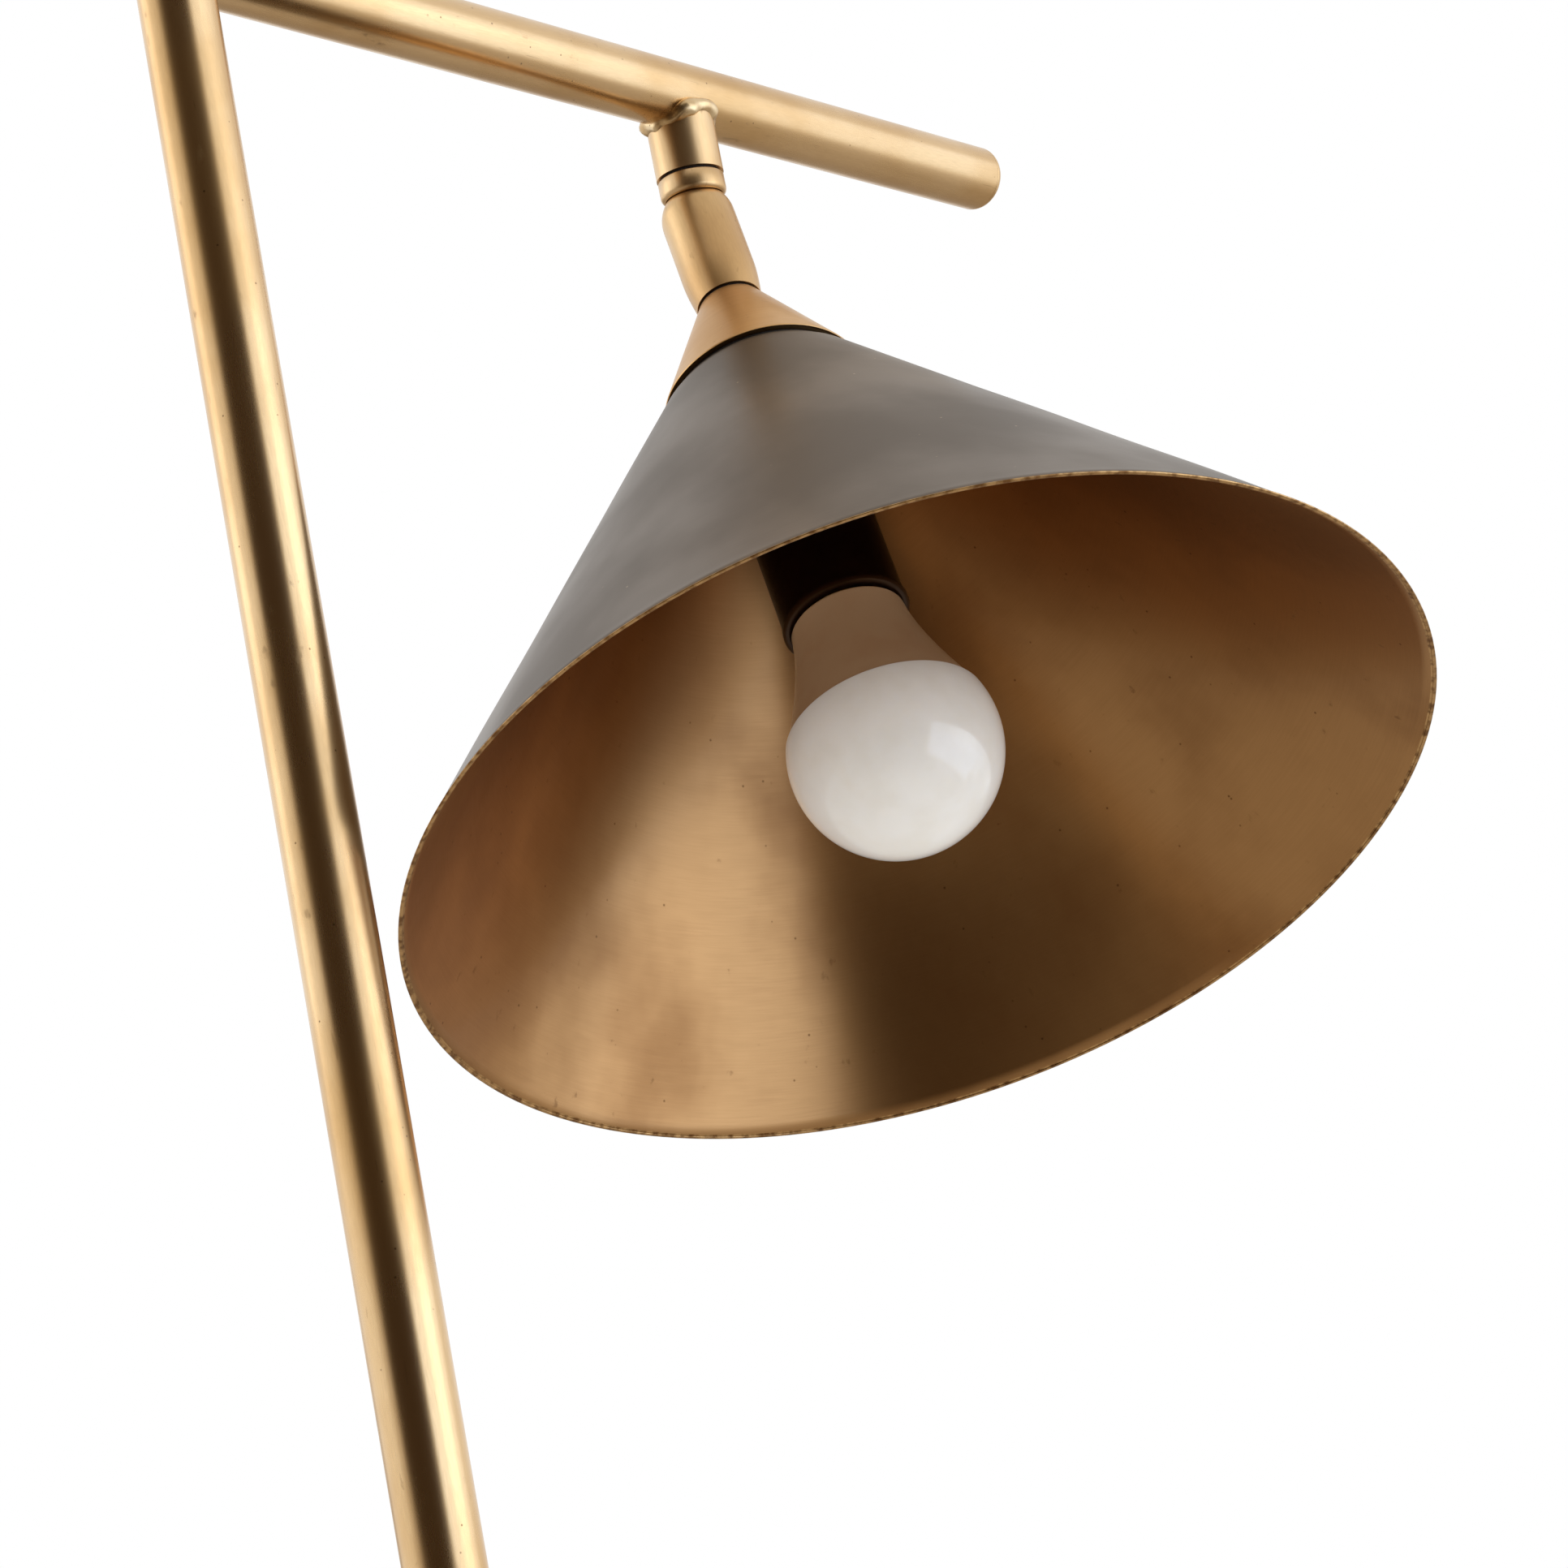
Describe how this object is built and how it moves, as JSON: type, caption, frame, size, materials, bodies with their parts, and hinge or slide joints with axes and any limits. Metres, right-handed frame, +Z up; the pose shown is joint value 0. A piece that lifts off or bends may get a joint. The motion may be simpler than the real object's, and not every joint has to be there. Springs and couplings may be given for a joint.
{
  "type": "tripod floor lamp",
  "caption": "Floor lamp on three brass legs: the long leaning leg carries a boom arm, from which a cone shade with a bulb hangs on a ball swivel.",
  "frame": {"origin": "on the floor, at the middle of the footprint of the three feet", "axes": "+Z up; +X from the rear feet to the front foot, which is the way the boom arm points; +Y to the left rear foot"},
  "size_m": [0.594, 0.588, 1.5442],
  "materials": {
    "antique_brass": "antique brushed brass, clear lacquered",
    "cap_brass": "spun and brushed antique brass",
    "shade_bronze": "spun brass, dark bronze patina outside, brushed antique brass inside",
    "turned_brass": "plain turned brass",
    "zinc_steel": "zinc plated",
    "black_rubber": "matt moulded",
    "black_fibre": "pressed fibre washer",
    "phenolic": "moulded phenolic, low gloss",
    "nylon": "natural nylon",
    "wire_sheath": "flexible lead sheath",
    "contact_brass": "stamped contact brass",
    "base_aluminium": "rolled thread shell",
    "solder": "solder point",
    "bulb_plastic": "moulded white plastic",
    "opal": "frosted opal diffuser",
    "led_phosphor": "phosphor",
    "circuit_board": "solder mask"
  },
  "bodies": {
    "frame": {"main_leg_lower": "antique_brass", "main_leg_upper": "antique_brass", "leg_joint_sleeve": "zinc_steel", "leg_hub": "antique_brass", "hub_grub_screws": "zinc_steel", "rear_leg_left": "antique_brass", "rear_leg_right": "antique_brass", "front_ferrule": "antique_brass", "left_ferrule": "antique_brass", "right_ferrule": "antique_brass", "front_pad": "black_rubber", "left_pad": "black_rubber", "right_pad": "black_rubber", "leg_top_cap": "antique_brass", "cable_grommet": "black_rubber", "boom_arm": "antique_brass", "arm_end_cap": "antique_brass", "drop_stub": "antique_brass", "stub_bushing": "turned_brass", "frame_wire": "wire_sheath"},
    "swivel": {"ball_stud": "turned_brass", "swivel_collar": "antique_brass", "swivel_washer": "black_fibre", "stud_retainer": "zinc_steel"},
    "head": {"swivel_barrel": "antique_brass", "ball_seat": "nylon", "disc_springs": "zinc_steel", "tension_nut": "turned_brass", "head_nipple": "zinc_steel", "barrel_gasket": "black_fibre", "shade_cap": "cap_brass", "shade_gasket": "black_rubber", "shade": "shade_bronze", "lock_washer": "zinc_steel", "lock_nut": "turned_brass", "socket_cap": "phenolic", "socket_body": "phenolic", "screw_shell": "contact_brass", "socket_disc": "nylon", "centre_contact": "contact_brass", "head_wire": "wire_sheath"},
    "bulb": {"bulb_screw_base": "base_aluminium", "bulb_insulator": "phenolic", "bulb_tip": "solder", "bulb_collar": "bulb_plastic", "bulb_diffuser": "opal", "led_board": "base_aluminium", "led_chips": "led_phosphor", "driver_board": "circuit_board"}
  },
  "joints": [
    {"name": "swivel_turn", "type": "hinge", "parent": "frame", "child": "swivel", "pos_m": [0.08246, 0, 1.45249], "axis": [-0.2756, 0, 0.9613], "range_deg": [-3, 253]},
    {"name": "head_tilt", "type": "hinge", "parent": "swivel", "child": "head", "pos_m": [0.08246, 0, 1.45249], "axis": [-0.7874, 0.5736, -0.2258], "range_deg": [-23, 21]},
    {"name": "bulb_turn", "type": "hinge", "parent": "head", "child": "bulb", "pos_m": [0.08246, 0, 1.45249], "axis": [0.0383, -0.3201, -0.9466], "range_deg": [0, 2520]}
  ]
}
